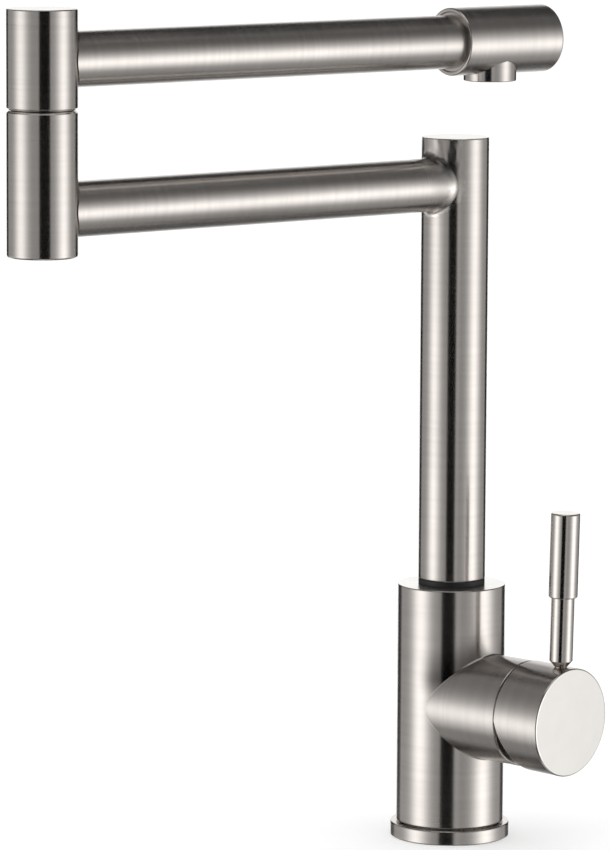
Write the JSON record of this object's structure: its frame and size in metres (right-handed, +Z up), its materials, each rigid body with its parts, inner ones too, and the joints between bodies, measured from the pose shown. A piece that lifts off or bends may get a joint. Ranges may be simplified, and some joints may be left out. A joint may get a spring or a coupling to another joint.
{
  "type": "folding kitchen faucet",
  "caption": "Deck-mounted kitchen mixer tap in brushed stainless steel: a spout of tube arms that swivel and fold over each other, and a pin lever on a side valve.",
  "frame": {"origin": "centre of the foot's underside, where the faucet stands on the deck", "axes": "+Z up along the body and the riser, +X out along the valve branch towards the handle, +Y the side away from the folded spout"},
  "size_m": [0.1136, 0.27, 0.3534],
  "materials": {
    "brushed_stainless": "satin, brushed round each tube",
    "machined_stainless": "turned",
    "brass": "turned",
    "black_rubber": "matte",
    "black_bearing_plastic": "satin",
    "white_moulding": "moulded, satin",
    "grey_moulding": "moulded, satin",
    "ceramic": "lapped flat"
  },
  "bodies": {
    "base": {"foot_block": "machined_stainless", "base_flange": "brushed_stainless", "foot_gasket": "black_rubber", "body_tube": "brushed_stainless", "branch_tube": "brushed_stainless", "supply_tube_cold": "machined_stainless", "supply_tube_hot": "machined_stainless", "cartridge_seat": "machined_stainless", "cartridge_base": "white_moulding", "port_seals": "black_rubber", "fixed_disc": "ceramic", "cartridge_housing": "white_moulding", "cartridge_nut": "brass", "swivel_socket": "machined_stainless", "glide_ring": "black_bearing_plastic", "swivel_set_screw": "machined_stainless"},
    "lower_arm": {"riser_tube": "brushed_stainless", "riser_spigot": "machined_stainless", "riser_seals": "black_rubber", "lower_arm_tube": "brushed_stainless", "lower_barrel": "brushed_stainless", "lower_barrel_plug": "brushed_stainless", "elbow_bush": "brass", "elbow_washer": "black_bearing_plastic"},
    "upper_arm": {"upper_barrel": "brushed_stainless", "elbow_spindle": "machined_stainless", "elbow_seals": "black_rubber", "elbow_clip": "machined_stainless", "clip_washer": "machined_stainless", "upper_arm_tube": "brushed_stainless", "spout_head": "brushed_stainless", "head_bush": "machined_stainless", "outlet_boss": "brushed_stainless", "aerator_washer": "black_rubber", "aerator_housing": "grey_moulding", "aerator_screen": "grey_moulding"},
    "mixer_rotor": {"cartridge_carrier": "white_moulding", "pivot_pin": "machined_stainless"},
    "handle": {"lever_stem": "machined_stainless", "handle_cap": "brushed_stainless", "pin_lever": "brushed_stainless"},
    "disc_slide": {"moving_disc": "ceramic", "disc_driver": "white_moulding"}
  },
  "joints": [
    {"name": "riser_swivel", "type": "hinge", "parent": "base", "child": "lower_arm", "pos_m": [0, 0, 0.1094], "axis": [0, 0, 1], "continuous": true},
    {"name": "elbow_swivel", "type": "hinge", "parent": "lower_arm", "child": "upper_arm", "pos_m": [-0.03213, -0.20753, 0.3141], "axis": [0, 0, 1], "continuous": true},
    {"name": "lever_turn", "type": "hinge", "parent": "base", "child": "mixer_rotor", "pos_m": [0.034, 0, 0.0572], "axis": [1, 0, 0], "range_deg": [-45, 45]},
    {"name": "lever_tilt", "type": "hinge", "parent": "mixer_rotor", "child": "handle", "pos_m": [0.034, 0, 0.0572], "axis": [0, 1, 0], "range_deg": [0, 15]},
    {"name": "disc_travel", "type": "slide", "parent": "mixer_rotor", "child": "disc_slide", "axis": [0, 0, 1], "range_m": [0, 0.0019]}
  ],
  "couplings": [
    {"joint": "disc_travel", "follows": "lever_tilt", "m_per_rad": 0.006894}
  ]
}
